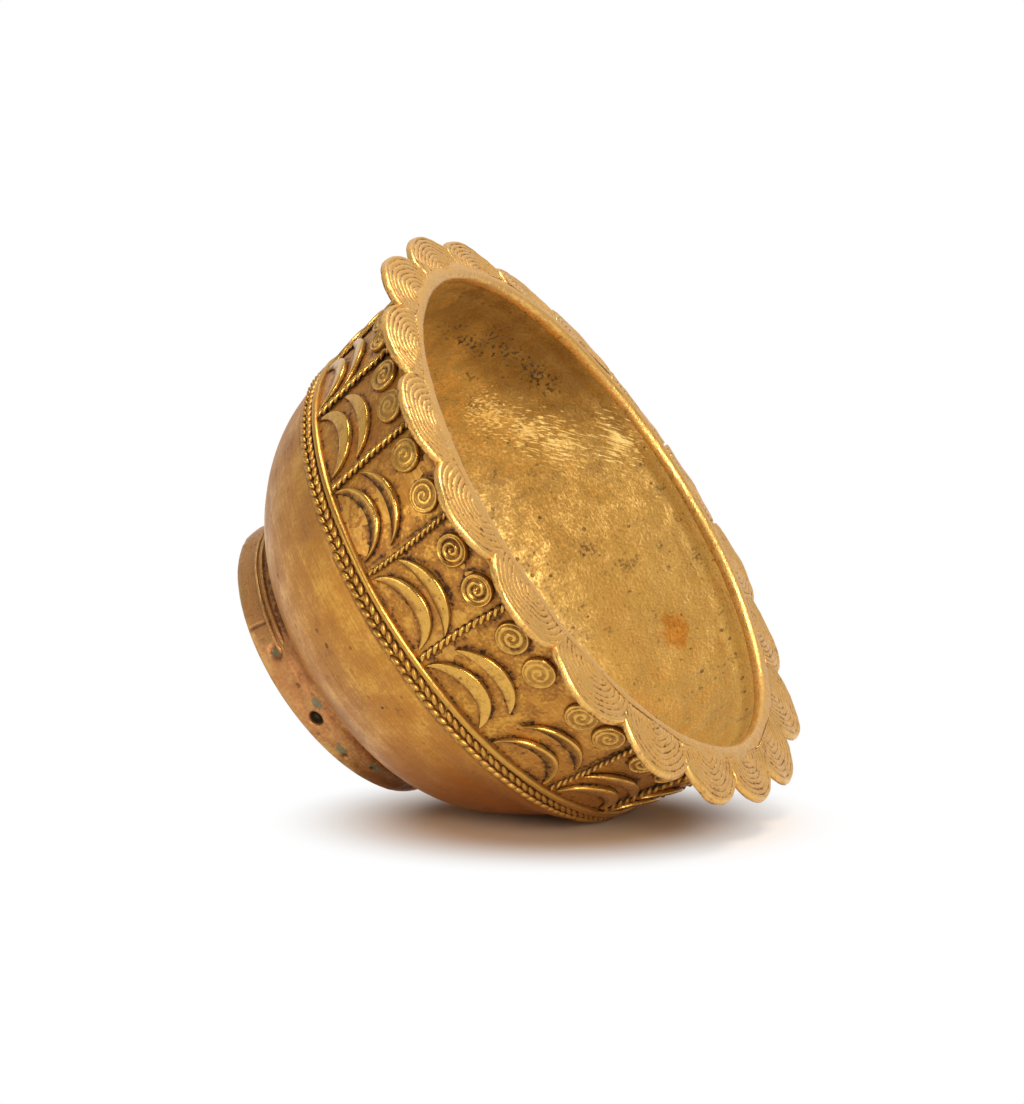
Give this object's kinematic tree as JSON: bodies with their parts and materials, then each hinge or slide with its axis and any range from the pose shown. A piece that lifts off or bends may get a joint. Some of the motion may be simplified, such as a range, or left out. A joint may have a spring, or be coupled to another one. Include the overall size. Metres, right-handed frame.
{
  "type": "offering bowl",
  "caption": "Footed cast brass offering bowl with a scalloped petal rim, a plaited band and a relief frieze of crescents, spiral discs and rope dividers.",
  "frame": {"origin": "on the table plane that the foot rests on, under the centre of the mouth", "axes": "+Z is the bowl's axis, up out of the mouth; -Y is the side of the frieze that the picture shows"},
  "size_m": [0.159, 0.1591, 0.08],
  "materials": {
    "wall_brass": "satin, scratched round the belly, dull inside",
    "foot_brass": "worn, reddish, with green spots",
    "rim_brass": "pale, polished on the edges",
    "frieze_brass": "polished on top, dark in the corners",
    "cord_brass": "polished on top, dark between the strands"
  },
  "bodies": {
    "root": {"border_wire_lower": "cord_brass", "border_wire_upper": "cord_brass", "bowl_wall": "wall_brass", "divider_rope_01": "frieze_brass", "divider_rope_02": "frieze_brass", "divider_rope_03": "frieze_brass", "divider_rope_04": "frieze_brass", "divider_rope_05": "frieze_brass", "divider_rope_06": "frieze_brass", "divider_rope_07": "frieze_brass", "divider_rope_08": "frieze_brass", "divider_rope_09": "frieze_brass", "divider_rope_10": "frieze_brass", "divider_rope_11": "frieze_brass", "divider_rope_12": "frieze_brass", "divider_rope_13": "frieze_brass", "divider_rope_14": "frieze_brass", "divider_rope_16": "frieze_brass", "divider_rope_17": "frieze_brass", "divider_rope_18": "frieze_brass", "foot_ring": "foot_brass", "foot_thread_lower": "foot_brass", "foot_thread_upper": "foot_brass", "inner_crescents": "frieze_brass", "lip_collar": "rim_brass", "outer_crescents": "frieze_brass", "petal_01": "rim_brass", "petal_02": "rim_brass", "petal_03": "rim_brass", "petal_04": "rim_brass", "petal_05": "rim_brass", "petal_06": "rim_brass", "petal_07": "rim_brass", "petal_08": "rim_brass", "petal_09": "rim_brass", "petal_10": "rim_brass", "petal_11": "rim_brass", "petal_12": "rim_brass", "petal_13": "rim_brass", "petal_14": "rim_brass", "petal_15": "rim_brass", "petal_16": "rim_brass", "petal_17": "rim_brass", "petal_18": "rim_brass", "petal_19": "rim_brass", "plait_cord_lower": "cord_brass", "plait_cord_upper": "cord_brass", "spiral_discs": "frieze_brass"}
  },
  "joints": []
}
